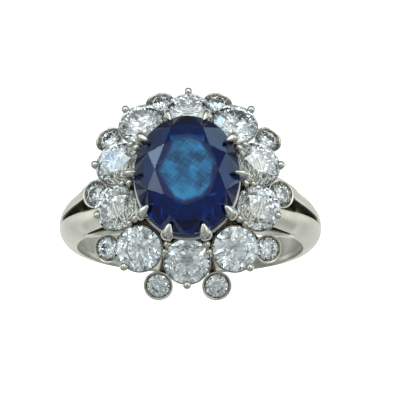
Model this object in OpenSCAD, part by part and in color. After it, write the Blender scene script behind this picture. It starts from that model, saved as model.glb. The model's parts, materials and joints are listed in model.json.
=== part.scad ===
// Sapphire and diamond cluster ring, lying on its side as it would by itself.
// Millimetres, +Z up. The pieces are drawn in the ring's own frame first:
// X across the finger, Y along the finger, Z out of the head; laid() then
// sets the ring down on its two lowest bezels and the edge of the shank.

/* [Finger hoop] */
// Inner diameter of the hoop, the finger's size
bore_diameter = 17.4; // [16.8:0.1:18.2]
// Thickness of the shank from the finger to its crown
shank_thickness = 1.45; // [1.35:0.05:1.6]
// Width of the shank at the back of the finger
back_width = 2.5; // [2.2:0.1:2.8]
// Widening of the shank, millimetres per millimetre of height, each side
shank_flare = 0.05; // [0.03:0.005:0.06]
// Height of the slit's start above the finger's centre
split_start = 0.2; // [0:0.1:1]
// Radius of the curve that parts the two branches
split_radius = 28; // [26:1:34]

/* [Sapphire] */
// Width of the sapphire across the finger
sapphire_width = 7.8; // [7.5:0.1:8]
// Length of the sapphire along the finger
sapphire_length = 9.1; // [8.8:0.1:9.4]
// Height of the sapphire's crown above its girdle
sapphire_crown = 1.45; // [1.2:0.05:1.7]
// Depth of the sapphire's pavilion below its girdle
sapphire_pavilion = 3.9; // [3.6:0.1:4]
// Size of the sapphire's table to its girdle
sapphire_table = 0.6; // [0.54:0.01:0.64]
// Height of the sapphire's girdle above the crown of the hoop
head_rise = 4.25; // [4.1:0.05:4.6]

/* [Large diamonds] */
// Diameter of the ten large diamonds
large_diameter = 3.35; // [3.2:0.05:3.4]
// Distance of a large diamond from the head's middle, at the sides
large_side = 5.56; // [5.5:0.02:5.7]
// Distance of a large diamond from the head's middle, at the corners
large_corner = 6.03; // [6:0.02:6.12]
// Distance of a large diamond from the head's middle, at the two ends
large_end = 5.83; // [5.8:0.02:5.92]
// How far the large diamonds lie below the sapphire's girdle
large_drop = 2.85; // [2.75:0.05:2.95]
// Outward tilt of the large diamonds
large_tilt = 21.5; // [19:0.5:23]

/* [Small diamonds] */
// Diameter of the ten small diamonds
small_diameter = 1.7; // [1.6:0.05:1.75]
// Outer diameter of the small bezels
bezel_diameter = 2.2; // [2.15:0.05:2.3]
// Distance of a small bezel from the head's middle, at the sides
small_side = 6.96; // [6.9:0.02:7.1]
// Distance of a small bezel from the head's middle, at the corners
small_corner = 7.35; // [7.3:0.02:7.5]
// Distance of a small bezel from the head's middle, at the ends
small_end = 7.47; // [7.4:0.02:7.6]
// How far the small bezels lie below the sapphire's girdle
small_drop = 4.95; // [4.8:0.05:5]
// Outward tilt of the small bezels
small_tilt = 29; // [26:0.5:31]

/* [Claws and wires] */
// Diameter of the bead on each large diamond's outer claw
bead_diameter = 0.54; // [0.48:0.02:0.6]
// Diameter of the sapphire's claws
claw_diameter = 0.5; // [0.44:0.02:0.52]
// Diameter of the gallery wire under the large diamonds
gallery_diameter = 0.6; // [0.5:0.02:0.7]
// Clearance between a stone and the metal around it
seat_gap = 0.04; // [0.03:0.01:0.05]

/* [Hidden] */
$fn = 48;
smooth = 96;
count = 10;

// Shank
rb = bore_diameter / 2;
ro = rb + shank_thickness;
rail = rb + 0.4;                 // outside of the finger rail
slot_x = 3.6;                    // half of the light slot's length and width
slot_y = 1.1;
under = rb + 0.55;               // underside of the branches, a slit above the rail
dome = 1.75;                     // radius of the shank's domed top
dome_r = ro - dome;              // where the dome's centre lies
taper_from = -9;                 // height at which the shank has its back width
start_gap = 0.03;                // half of the split where it starts
curve_top = 5.5;                 // height at which the split goes straight
splay = 8;                       // outward lean of the branches
inset = 0.12;                    // how far a branch starts inside the hoop's surface
overlap = 1;                     // length of a branch that lies inside the hoop
branch_gap = 0.2;                // each branch's inner side from the middle plane
wide = 24;                       // longer than anything it cuts
past = 1;                        // how far a cutting outline passes what it cuts
nudge = 0.01;                    // keeps a wire's end off the middle of its bead

// Stones
sa = sapphire_width / 2;
sb = sapphire_length / 2;
lr = large_diameter / 2;
sr = small_diameter / 2;
br = bezel_diameter / 2;
girdle = ro + head_rise;         // sapphire's girdle above the finger axis
zl = girdle - large_drop;
zs = girdle - small_drop;
edge = 0.06;                     // half of a large stone's girdle edge, about
crown = 0.31;                    // brilliant's crown height to its girdle radius
pavilion = 0.86;                 // brilliant's depth to its girdle radius
table = 0.56;                    // brilliant's table to its girdle
girdle_edge = 0.035;             // half of a brilliant's girdle edge to its girdle radius
star = 0.77;                     // ring where a brilliant's stars end
lower_half = 0.24;               // ring where its lower halves end
sunk = 0.145;                    // small stone's girdle below its bezel's rim

// Rings of corners on the sapphire: size to the girdle, height to the crown or the pavilion
facet = 22.5;                    // half of the angle between two kites
upper = 0.8;
lower = 0.62;
lower_down = 0.68;
point = 0.24;
point_down = 0.93;

// Azimuths of the stones, and the distances that the five of one half turn share
large_at = [for (k = [0:count - 1]) 90 - 36 * k];
large_reach = [large_end, large_corner, large_side, large_side, large_corner];
small_at = [73, 35.5, 0, -35.5, -73, -107, -144.5, 180, 144.5, 107];
small_reach = [small_end, small_corner, small_side, small_corner, small_end];

// Basket of the sapphire, measured from its outline and its girdle
foot_in = 0.82;
foot_drop = 3.4;
foot_band = 0.5;
collar_in = 0.12;
collar_drop = 1.3;
collar_band = 0.36;
claw_r = claw_diameter / 2;
claw_out = claw_r + 0.16;
claw_up = 0.26;
knee_r = claw_r + 0.03;
tip_in = 0.36;
tip_up = 0.62;
tip_r = claw_r - 0.09;

// Collets, bezels and their wires
collet_foot = 1.08;
collet_h = 1.1;
collet_low = 1.35;
collet_in = 0.1;                 // how far a collet's rim lies inside its stone's edge
hole = 0.75;                     // light hole through a collet
hole_low = 1.6;
cup_low = 1.05;                  // where a collet's cup narrows to its light hole
bead_foot = collet_foot + 0.07;
bead_out = 0.25;
bead_up = 0.21;
wire_r = 0.2;
shared_bead = 0.26;
shared_up = 0.74;
shared_foot = 0.1;               // start of a shared claw above the gallery's middle
bezel_foot = 0.74;
bezel_h = 0.9;
bezel_mid = 0.55;
bezel_hole = 0.34;
bezel_hole_low = 1.2;
bezel_cup_low = 0.66;
bezel_wall_low = 0.19;           // the straight wall beside a small stone's girdle
bezel_wall_top = 0.11;
lip = 0.05;                      // overhang of the bezel's rubbed-over rim, and its underside
lip_low = 0.045;
bezel_top = 0.3;
spoke_r = 0.21;
bezel_spoke_r = 0.34;

// Gallery torus under the collets, and the branches' tangent towards it
gallery_in = 0.31;
gallery_drop = 1.2;
plate = 0.3;
plate_up = 0.2;                  // the gallery plate's underside above the wire's middle
gr = large_side - gallery_in;
gz = zl - gallery_drop;
branch_y = 1.8;
branch_in = 0.22;                // height of a branch's underside below the torus's middle
branch_x = sqrt(gr * gr - branch_y * branch_y);
tangent = atan2(gz, branch_x) - acos((under + branch_in) / sqrt(branch_x * branch_x + gz * gz));
branch = gz * cos(tangent) - branch_x * sin(tangent);

// Half of the shank's width at height z
function half_width(z) = back_width / 2 + shank_flare * (z - taper_from);

// Half of the split between the branches at height z
function half_split(z) = start_gap + split_radius - sqrt(pow(split_radius, 2) - pow(z - split_start, 2));

// The sapphire's outline at azimuth a
function outline(a) = 1 / sqrt(pow(cos(a) / sa, 2) + pow(sin(a) / sb, 2));

// Point at azimuth a, distance r and height z
function polar(a, r, z) = [r * cos(a), r * sin(a), z];

// Middles of large stone k and small bezel k
function large_middle(k) = polar(large_at[k], large_reach[k % 5], zl);
function small_middle(k) = polar(small_at[k], small_reach[k % 5], zs);

// Distance from the head's middle of the claw between large stones k and k + 1
function notch(k) = let (p = large_middle(k), q = large_middle((k + 1) % count), m = (p + q) / 2)
    norm([m[0], m[1]]) - sqrt(pow(lr + shared_bead, 2) - pow(norm(p - q) / 2, 2));

// How far the ring reaches down when it leans by t: its lowest bezels and the shank's back
function bezel_reach(t) = let (c = small_middle(4),
    n = -sin(small_tilt) * sin(small_at[4]) * cos(t) - cos(small_tilt) * sin(t))
    -c[1] * cos(t) - c[2] * sin(t) + br * sqrt(1 - n * n);
corner = dome_r + sqrt(dome * dome - pow(half_width(-ro), 2));
function shank_reach(t) = max(half_width(-rb) * cos(t) + rb * sin(t),
    half_width(-corner) * cos(t) + corner * sin(t));

// The lean at which both touch the floor, by halving
function level(lo, hi, n) = let (m = (lo + hi) / 2)
    n == 0 ? m : bezel_reach(m) > shank_reach(m) ? level(m, hi, n - 1) : level(lo, m, n - 1);
lie = level(5, 40, 30);
low = bezel_reach(lie);

// Middle of the laid ring from front to back
tip = polar(small_at[4], outline(small_at[4]) - tip_in, girdle + tip_up);
front = max(tip[2] * cos(lie) - tip[1] * sin(lie) + tip_r,
    (girdle + sapphire_crown) * cos(lie) + sapphire_table * sb * sin(lie));
back = dome_r * cos(lie) + dome;
middle = (front - back) / 2;

metal = [0.80, 0.79, 0.76];
blue = [0.05, 0.10, 0.35];
clear = [0.90, 0.93, 0.95];

// Lays a piece of the ring's own frame down on the floor
module laid() { translate([0, middle, low]) rotate([90 - lie, 0, 0]) children(); }

// Local frame of stone: Z along its axis, X outward
module seat(p, a, t) { translate(p) rotate([0, 0, a]) rotate([0, t, 0]) children(); }
module large_seat(k) { seat(large_middle(k), large_at[k], large_tilt) children(); }
module small_seat(k) { seat(small_middle(k), small_at[k], small_tilt) children(); }

// Round wire from p to q
module wire(p, q, r1, r2) {
    v = q - p;
    translate(p) rotate([0, acos(v[2] / norm(v)), atan2(v[1], v[0])])
        cylinder(h = norm(v), r1 = r1, r2 = r2);
}

// Oval band of half axes a and b along its middle, with a square section
module oval_band(a, b, size) {
    h = size / 2;
    translate([0, 0, -h]) linear_extrude(size) difference() {
        polygon([for (t = [0:7.5:352.5]) [(a + h) * cos(t), (b + h) * sin(t)]]);
        polygon([for (t = [0:7.5:352.5]) [(a - h) * cos(t), (b - h) * sin(t)]]);
    }
}

// Plate from the basket's foot out to the gallery wire
module gallery_plate() {
    translate([0, 0, gz + plate_up]) linear_extrude(plate) difference() {
        circle(gr, $fn = smooth);
        polygon([for (t = [0:7.5:352.5]) [(sa - foot_in) * cos(t), (sb - foot_in) * sin(t)]]);
    }
}

// Domed section of the shank from radius r0 outwards, and one side of it
module dome_section(r0) {
    intersection() {
        translate([dome_r, 0]) circle(dome, $fn = smooth);
        translate([r0, -dome]) square([dome, 2 * dome]);
    }
}
module branch_section() {
    intersection() {
        dome_section(under);
        translate([0, -dome - past]) square([wide, dome + past - branch_gap]);
    }
}

// Finger rail, the band that closes the hoop over the finger, with a light slot under the sapphire
module finger_rail() {
    difference() {
        rotate([90, 0, 0]) rotate_extrude($fn = smooth)
            translate([rb, -wide / 4]) square([rail - rb, wide / 2]);
        translate([-slot_x, -slot_y, 0]) cube([2 * slot_x, 2 * slot_y, wide]);
    }
}

// Hoop, and the four branches that leave it to carry the head
module hoop() {
    rotate([90, 0, 0]) {
        rotate([0, 0, 180 - tangent])
            rotate_extrude(angle = 180 + 2 * tangent, $fn = smooth) dome_section(rb);
        for (s = [0, 1], t = [0, 1]) mirror([s, 0, 0]) mirror([0, 0, t]) rotate([0, 0, tangent])
            rotate([splay - 90, 0, 0]) translate([-inset, 0, -overlap]) linear_extrude(branch + overlap)
                branch_section();
    }
}

// Side view of the width that the shank keeps, and of the split between its branches
module across() { rotate([90, 0, 90]) translate([0, 0, -wide / 2]) linear_extrude(wide) children(); }
module tapered_side() {
    z0 = -ro - past;
    z1 = ro + past;
    polygon([[-half_width(z0), z0], [half_width(z0), z0], [half_width(z1), z1], [-half_width(z1), z1]]);
}
module split_side() {
    g = half_split(curve_top);
    top = ro + past;
    h = g + tan(splay) * (top - curve_top);
    difference() {
        translate([-g, split_start]) square([2 * g, curve_top - split_start]);
        for (s = [-1, 1]) translate([s * (split_radius + start_gap), split_start])
            circle(split_radius, $fn = 2 * smooth);
    }
    polygon([[-g, curve_top], [g, curve_top], [h, top], [-h, top]]);
}
module shank() {
    intersection() {
        union() {
            difference() {
                hoop();
                across() split_side();
            }
            finger_rail();
        }
        across() tapered_side();
    }
}

// Cup of a large stone, in the stone's frame
module collet() {
    translate([0, 0, -collet_low]) cylinder(h = collet_h, r1 = collet_foot, r2 = lr - collet_in);
}

// Claw with a bead on the outer side of a large stone
module outer_claw() {
    wire([bead_foot, 0, wire_r - collet_low], [lr + bead_out, 0, bead_up], wire_r, wire_r);
    translate([lr + bead_out, 0, bead_up + nudge]) sphere(bead_diameter / 2);
}

// Rub-over cup of a small stone, in the stone's frame
module bezel() { translate([0, 0, -bezel_h]) cylinder(h = bezel_h, r1 = bezel_foot, r2 = br); }

// Room for a large stone, with the light hole below
module large_room() {
    g = seat_gap;
    r = lr + g;
    top = lr * crown + edge + g;
    rotate_extrude() polygon([[0, -hole_low], [hole, -hole_low], [hole, -cup_low],
        [r, -edge - g], [r, edge + g], [lr * table + g, top], [0, top]]);
}

// Room for a small stone under the rim, with the light hole below
module small_room() {
    r = sr + seat_gap;
    in = sr - lip;
    rotate_extrude() polygon([[0, -bezel_hole_low], [bezel_hole, -bezel_hole_low],
        [bezel_hole, -bezel_cup_low], [r, -bezel_wall_low], [r, -bezel_wall_top], [in, -lip_low],
        [in, bezel_top], [0, bezel_top]]);
}

// Claw of the sapphire at azimuth a: post from the basket's foot, then the tip over the crown
module tall_claw(a) {
    p = outline(a);
    knee = polar(a, p + claw_out, girdle + claw_up);
    end = polar(a, p - tip_in, girdle + tip_up);
    wire(polar(a, p - foot_in, girdle - foot_drop), knee, claw_r, claw_r);
    translate(knee) sphere(knee_r);
    wire(knee, end, claw_r, tip_r - nudge);
    translate(end) sphere(tip_r);
}

// Spokes from the basket's foot over the gallery to a small bezel
module spoke(k) {
    a = small_at[k];
    t = small_tilt;
    cup = small_middle(k) - bezel_mid * [sin(t) * cos(a), sin(t) * sin(a), cos(t)];
    wire(polar(a, outline(a) - foot_in, girdle - foot_drop), polar(a, gr, gz), spoke_r, spoke_r);
    wire(polar(a, gr, gz), cup - polar(a, bezel_foot, 0), bezel_spoke_r, bezel_spoke_r);
}

// Claw that two neighbouring large stones share on the inner side
module shared_claw(k) {
    a = small_at[k];
    r = notch(k);
    wire(polar(a, r, gz + shared_foot), polar(a, r, zl + shared_up - 2 * nudge), wire_r, wire_r);
    translate(polar(a, r, zl + shared_up)) sphere(shared_bead);
}

module mount() {
    color(metal) laid() difference() {
        union() {
            shank();
            translate([0, 0, gz]) rotate_extrude($fn = smooth)
                translate([gr, 0]) circle(gallery_diameter / 2);
            gallery_plate();
            translate([0, 0, girdle - foot_drop])
                oval_band(sa - foot_in, sb - foot_in, foot_band);
            translate([0, 0, girdle - collar_drop])
                oval_band(sa - collar_in, sb - collar_in, collar_band);
            for (k = [0:count - 1]) {
                large_seat(k) { collet(); outer_claw(); }
                small_seat(k) bezel();
                tall_claw(small_at[k]);
                spoke(k);
                shared_claw(k);
            }
        }
        for (k = [0:count - 1]) {
            large_seat(k) large_room();
            small_seat(k) small_room();
        }
    }
}

// Corner of a stone of half axes a and b: size s to the girdle, azimuth t, height z
function corner(a, b, s, t, z) = [s * a * cos(t), s * b * sin(t), z];
function ring8(a, b, s, z, t0) = [for (k = [0:7]) corner(a, b, s, t0 + 45 * k, z)];

// Height at which the plane through p, q and r passes over x, y
function on_plane(p, q, r, x, y) = let (n = cross(q - p, r - p))
    p[2] - (n[0] * (x - p[0]) + n[1] * (y - p[1])) / n[2];

// Girdle of n corners in the planes of the sixteen facets beside it, which meet the ring of size s and
// height sz
function girdle_ring(a, b, n, z, s, sz) = [for (k = [0:n - 1])
    let (t = 360 / n * k, half = floor(t / facet), t0 = half * facet,
        m = half % 2 == 1 ? t0 : t0 + facet,
        p = corner(a, b, 1, t0, z), q = corner(a, b, 1, t0 + facet, z), r = corner(a, b, s, m, sz))
    corner(a, b, 1, t, on_plane(p, q, r, a * cos(t), b * sin(t)))];

// A convex stone from its corners
module cut_stone(points) {
    n = len(points);
    hull() polyhedron(points = points, faces = [for (k = [0:n - 3]) [k, k + 1, k + 2]]);
}

// Round brilliant: table, eight stars, eight kites, sixteen upper and lower halves, eight mains
module brilliant(r) {
    h = crown * r;
    e = girdle_edge * r;
    d = pavilion * r;
    star_z = e + h * (1 - star * cos(facet)) / (1 - table);
    half_z = -e - (d - e) * (1 - lower_half * cos(facet));
    cut_stone(concat(ring8(r, r, table, h + e, 0), ring8(r, r, star, star_z, facet),
        girdle_ring(r, r, 32, e, star, star_z), girdle_ring(r, r, 32, -e, lower_half, half_z),
        ring8(r, r, lower_half, half_z, facet), [[0, 0, -d]]));
}

// Oval brilliant with a full, shallow-bottomed pavilion
module sapphire() {
    up = edge + (sapphire_crown - edge) * (1 - upper * cos(facet)) / (1 - sapphire_table);
    down = -lower_down * sapphire_pavilion;
    color(blue) laid() translate([0, 0, girdle])
        cut_stone(concat(ring8(sa, sb, sapphire_table, sapphire_crown, 0),
            ring8(sa, sb, upper, up, facet), girdle_ring(sa, sb, 48, edge, upper, up),
            girdle_ring(sa, sb, 48, -edge, lower, down), ring8(sa, sb, lower, down, facet),
            ring8(sa, sb, point, -point_down * sapphire_pavilion, 0), [[0, 0, -sapphire_pavilion]]));
}

module large(k) { color(clear) laid() large_seat(k) brilliant(lr); }

module small(k) { color(clear) laid() small_seat(k) translate([0, 0, -sunk]) brilliant(sr); }

module diamond_01() { large(0); }
module diamond_02() { large(1); }
module diamond_03() { large(2); }
module diamond_04() { large(3); }
module diamond_05() { large(4); }
module diamond_06() { large(5); }
module diamond_07() { large(6); }
module diamond_08() { large(7); }
module diamond_09() { large(8); }
module diamond_10() { large(9); }
module small_diamond_01() { small(0); }
module small_diamond_02() { small(1); }
module small_diamond_03() { small(2); }
module small_diamond_04() { small(3); }
module small_diamond_05() { small(4); }
module small_diamond_06() { small(5); }
module small_diamond_07() { small(6); }
module small_diamond_08() { small(7); }
module small_diamond_09() { small(8); }
module small_diamond_10() { small(9); }

mount();
sapphire();
diamond_01();
diamond_02();
diamond_03();
diamond_04();
diamond_05();
diamond_06();
diamond_07();
diamond_08();
diamond_09();
diamond_10();
small_diamond_01();
small_diamond_02();
small_diamond_03();
small_diamond_04();
small_diamond_05();
small_diamond_06();
small_diamond_07();
small_diamond_08();
small_diamond_09();
small_diamond_10();
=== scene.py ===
"""A sapphire and diamond cluster ring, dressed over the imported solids.

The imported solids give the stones' cut and place. This script replaces the soldered mount with finely
shaped metal and gives every stone its own finish. Pieces are shaped in millimetres in the ring's own
frame, X across the finger, Y along it and Z out of the head, and are then laid into the frame of the
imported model, in metres.
"""
import json
import logging
from contextlib import contextmanager
from dataclasses import dataclass
from enum import Enum
from math import atan2, cos, hypot, pi, radians, sin, sqrt, tan, tau
from typing import Any, Callable, Iterator, Sequence

import bmesh
import bpy
from bpy.types import Material, Node, NodeSocket, NodeTree, Object
from mathutils import Matrix, Vector


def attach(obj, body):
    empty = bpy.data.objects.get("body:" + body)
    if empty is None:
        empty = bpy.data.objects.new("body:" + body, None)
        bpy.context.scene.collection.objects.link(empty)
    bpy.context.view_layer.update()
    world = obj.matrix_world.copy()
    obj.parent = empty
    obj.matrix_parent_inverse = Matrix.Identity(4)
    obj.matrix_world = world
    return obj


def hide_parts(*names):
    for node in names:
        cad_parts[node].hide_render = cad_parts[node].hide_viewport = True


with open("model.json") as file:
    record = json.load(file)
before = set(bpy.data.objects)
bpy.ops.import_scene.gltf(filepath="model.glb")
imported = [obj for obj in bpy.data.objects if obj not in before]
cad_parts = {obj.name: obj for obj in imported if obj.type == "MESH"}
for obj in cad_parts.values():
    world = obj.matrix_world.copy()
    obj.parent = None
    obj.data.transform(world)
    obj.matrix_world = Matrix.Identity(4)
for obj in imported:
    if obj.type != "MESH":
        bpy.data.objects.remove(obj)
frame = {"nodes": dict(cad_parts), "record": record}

log = logging.getLogger("ring")

MM = 0.001
BODY = "root"
# Large diamonds, and as many small ones, claws and notches between them
STONES = 10
# Facets round a wire before it is subdivided
WIRE_SIDES = 12
# Levels to which a cage is subdivided
LEVELS = 2
# Height of a bead's upper half to its radius
BEAD_FLAT = 0.88
# Edges sharper than the first angle are eased, and faces within the second are shaded as one, in degrees
SHARP = 32
SMOOTH = 40
# How near a point lies to its section or face, in millimetres or radians, closely and loosely
NEAR = 1e-3
LOOSE = 0.01
# How often light may pass through the stones, and how often the metal may mirror it
STONE_BOUNCES = 24
METAL_BOUNCES = 8
# Settings of nodes that calculate, mix colours and step softly
ADD = {"operation": "ADD"}
SUBTRACT = {"operation": "SUBTRACT"}
MULTIPLY = {"operation": "MULTIPLY"}
MULTIPLY_ADD = {"operation": "MULTIPLY_ADD"}
DOT = {"operation": "DOT_PRODUCT"}
COLOURS = {"data_type": "RGBA"}
SOFT_STEP = {"interpolation_type": "SMOOTHSTEP"}


class Pick(Enum):
    """What a selection is made of, as the mesh operators name it."""

    VERTS = "VERT"
    EDGES = "EDGE"
    FACES = "FACE"


class Slot(Enum):
    """The record's material slots that the pieces made here take."""

    METAL = "white_gold"
    SAPPHIRE = "sapphire"


def polar(azimuth: float, reach: float, height: float) -> Vector:
    """A point of the ring's frame at an azimuth in degrees, a reach from the head's axis and a height."""
    a = radians(azimuth)
    return Vector((reach * cos(a), reach * sin(a), height))


def seat(centre: Vector, azimuth: float, tilt: float) -> Matrix:
    """The frame of a stone's seat.

    Args:
        centre: The seat's middle in the ring's frame.
        azimuth: Direction of its outer side round the head, in degrees.
        tilt: How far its axis leans outward, in degrees.

    Returns:
        The matrix from the seat's own frame, X outward and Z along the stone's axis, to the ring's frame.
    """
    turn = Matrix.Rotation(radians(azimuth), 4, "Z")
    lean = Matrix.Rotation(radians(tilt), 4, "Y")
    return Matrix.Translation(centre) @ turn @ lean


@dataclass(frozen=True)
class RingSizes:
    """The ring's driving sizes in millimetres and degrees, as the part's source has them."""

    bore: float = 8.7
    crown: float = 10.15
    rail: float = 9.1
    under: float = 9.25
    dome: float = 1.75
    back_half: float = 1.25
    flare: float = 0.05
    taper_from: float = -9.0
    girdle: float = 14.4
    sapphire_a: float = 3.9
    sapphire_b: float = 4.55
    large_r: float = 1.675
    large_z: float = 11.55
    large_tilt: float = 21.5
    small_z: float = 9.45
    small_tilt: float = 29.0
    gallery_r: float = 5.25
    gallery_z: float = 10.35
    foot_in: float = 0.82
    foot_drop: float = 3.4
    large_at: tuple = tuple(90.0 - 360.0 / STONES * k for k in range(STONES))
    large_reach: tuple = (5.83, 6.03, 5.56, 5.56, 6.03)
    small_at: tuple = (73.0, 35.5, 0.0, -35.5, -73.0, -107.0, -144.5, 180.0, 144.5, 107.0)
    small_reach: tuple = (7.47, 7.35, 6.96, 7.35, 7.47)

    def half_width(self, z: float) -> float:
        """Half of the shank's width at a height."""
        return self.back_half + self.flare * (z - self.taper_from)

    def outline(self, azimuth: float) -> float:
        """The sapphire's reach at an azimuth."""
        a = radians(azimuth)
        return 1.0 / hypot(cos(a) / self.sapphire_a, sin(a) / self.sapphire_b)

    def large_seat(self, k: int) -> Matrix:
        """The seat of large diamond k."""
        at = self.large_at[k]
        return seat(polar(at, self.large_reach[k % len(self.large_reach)], self.large_z), at, self.large_tilt)

    def small_seat(self, k: int) -> Matrix:
        """The seat of small diamond k."""
        at = self.small_at[k]
        return seat(polar(at, self.small_reach[k % len(self.small_reach)], self.small_z), at, self.small_tilt)


SIZES = RingSizes()


def ring_matrix(record: dict) -> Matrix:
    """Finds how the ring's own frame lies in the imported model.

    Args:
        record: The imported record, whose finger bore gives the ring's middle and its axis.

    Returns:
        The matrix from the ring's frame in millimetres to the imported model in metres.
    """
    bore = record["mounts"][0]
    across = Vector((1.0, 0.0, 0.0))
    along = Vector(bore["axis"]).normalized()
    turn = Matrix((across, along, across.cross(along))).transposed().to_4x4()
    return Matrix.Translation(Vector(bore["pos_m"])) @ turn @ Matrix.Scale(MM, 4)


RING = ring_matrix(frame["record"])


def deselect() -> None:
    """Leaves nothing selected, so that an operator acts only on what is picked next."""
    for obj in bpy.context.selected_objects:
        obj.select_set(False)


def only(obj: Object) -> None:
    """Makes one object the active and only selected one.

    Args:
        obj: The object.
    """
    deselect()
    obj.select_set(True)
    bpy.context.view_layer.objects.active = obj


@contextmanager
def editing(obj: Object) -> Iterator[None]:
    """Holds an object in edit mode.

    Args:
        obj: The object.

    Yields:
        Nothing. Edit mode ends with the block.
    """
    only(obj)
    bpy.ops.object.mode_set(mode="EDIT")
    try:
        yield
    finally:
        bpy.ops.object.mode_set(mode="OBJECT")


def pick(kind: Pick, test: Callable[[Vector], bool]) -> None:
    """Selects parts of the mesh in edit mode by their place.

    Args:
        kind: Vertices, edges or faces.
        test: Says of a middle point whether its part is wanted.
    """
    bpy.ops.mesh.select_mode(type=kind.value)
    bpy.ops.mesh.select_all(action="DESELECT")
    mesh = bpy.context.object.data
    bm = bmesh.from_edit_mesh(mesh)
    if kind is Pick.VERTS:
        wanted = [v for v in bm.verts if test(v.co)]
    elif kind is Pick.EDGES:
        wanted = [e for e in bm.edges if test((e.verts[0].co + e.verts[1].co) / 2)]
    else:
        wanted = [f for f in bm.faces if test(f.calc_center_median())]
    for item in wanted:
        item.select_set(True)
    bm.select_flush_mode()
    bmesh.update_edit_mesh(mesh)


def pick_all() -> None:
    """Selects the whole mesh in edit mode."""
    bpy.ops.mesh.select_all(action="SELECT")


def scale(factors: Sequence[float], about: Sequence[float] = (0, 0, 0)) -> None:
    """Scales what is selected about a point."""
    bpy.ops.transform.resize(value=factors, center_override=about)


def extrude(step: Sequence[float]) -> None:
    """Extrudes what is selected by a step."""
    bpy.ops.mesh.extrude_region_move(TRANSFORM_OT_translate={"value": step})


def face_out() -> None:
    """Turns every face of the mesh in edit mode outward."""
    pick_all()
    bpy.ops.mesh.normals_make_consistent(inside=False)


def added(name: str) -> Object:
    """Names the object that an operator has just added, and its mesh.

    Args:
        name: The name for both.

    Returns:
        The object.
    """
    obj = bpy.context.object
    obj.name = name
    obj.data.name = name
    return obj


def started(name: str, add: Callable, **settings: Any) -> Object:
    """Starts a piece from one of Blender's primitives.

    Args:
        name: The piece's name.
        add: The operator that adds the primitive.
        settings: The operator's settings.

    Returns:
        The piece, with its place applied to its mesh.
    """
    deselect()
    add(**settings)
    obj = added(name)
    bpy.ops.object.transform_apply(location=True, rotation=True, scale=True)
    return obj


def finish_modifiers(obj: Object) -> None:
    """Applies an object's modifiers in order.

    Args:
        obj: The object, which is the only selected one afterwards.
    """
    only(obj)
    for modifier in list(obj.modifiers):
        bpy.ops.object.modifier_apply(modifier=modifier.name)


def subdivided(obj: Object) -> Object:
    """Rounds a cage with a Subdivision Surface and shades it smooth.

    Args:
        obj: The cage.

    Returns:
        The same object, rounded.
    """
    modifier = obj.modifiers.new("round", "SUBSURF")
    modifier.levels = LEVELS
    modifier.render_levels = LEVELS
    finish_modifiers(obj)
    bpy.ops.object.shade_smooth()
    return obj


def eased(obj: Object, width: float, segments: int = 3) -> Object:
    """Eases sharp edges with a Bevel, and shades the faces between them smooth.

    Args:
        obj: The piece.
        width: How far from the edge it starts, in millimetres.
        segments: Faces across each eased edge.

    Returns:
        The same object, eased.
    """
    modifier = obj.modifiers.new("ease", "BEVEL")
    modifier.width = width
    modifier.segments = segments
    modifier.limit_method = "ANGLE"
    modifier.angle_limit = radians(SHARP)
    finish_modifiers(obj)
    bpy.ops.object.shade_smooth_by_angle(angle=radians(SMOOTH))
    return obj


def copied(obj: Object, name: str, matrix: Matrix) -> Object:
    """Copies a finished piece with its own mesh.

    Args:
        obj: The pattern.
        name: The copy's name.
        matrix: The copy's place in the ring's frame.

    Returns:
        The copy.
    """
    twin = obj.copy()
    twin.data = obj.data.copy()
    twin.name = name
    twin.data.name = name
    twin.data.transform(matrix)
    bpy.context.scene.collection.objects.link(twin)
    return twin


def joined(parts: Sequence[Object], name: str) -> Object:
    """Joins parts into one piece.

    Args:
        parts: The parts, which the piece takes up.
        name: The piece's name.

    Returns:
        The piece, with the first part's materials before the others'.
    """
    deselect()
    for part in parts:
        part.select_set(True)
    bpy.context.view_layer.objects.active = parts[0]
    bpy.ops.object.join()
    return added(name)


def discard(obj: Object) -> None:
    """Deletes a pattern that its copies have been made from."""
    only(obj)
    bpy.ops.object.delete()


def turned(name: str, profile: Sequence[tuple[float, float]], sides: int) -> Object:
    """Turns a ring-shaped piece as on a lathe, by drawing a circle out through its section.

    Args:
        name: The piece's name.
        profile: Radii and heights round the ring's section.
        sides: Facets round the axis.

    Returns:
        The turned piece on the Z axis, closed.
    """
    r0, z0 = profile[0]
    obj = started(name, bpy.ops.mesh.primitive_circle_add, vertices=sides, radius=r0, location=(0, 0, z0))
    with editing(obj):
        bpy.ops.mesh.select_mode(type="EDGE")
        pick_all()
        for r, z in profile[1:]:
            extrude((0, 0, z - z0))
            scale((r / r0, r / r0, 1.0), (0, 0, z))
            r0, z0 = r, z
        bpy.ops.mesh.select_all(action="DESELECT")
        bpy.ops.mesh.select_non_manifold(
            extend=False, use_wire=False, use_multi_face=False, use_non_contiguous=False
        )
        bpy.ops.mesh.bridge_edge_loops()
        face_out()
    return obj


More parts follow.
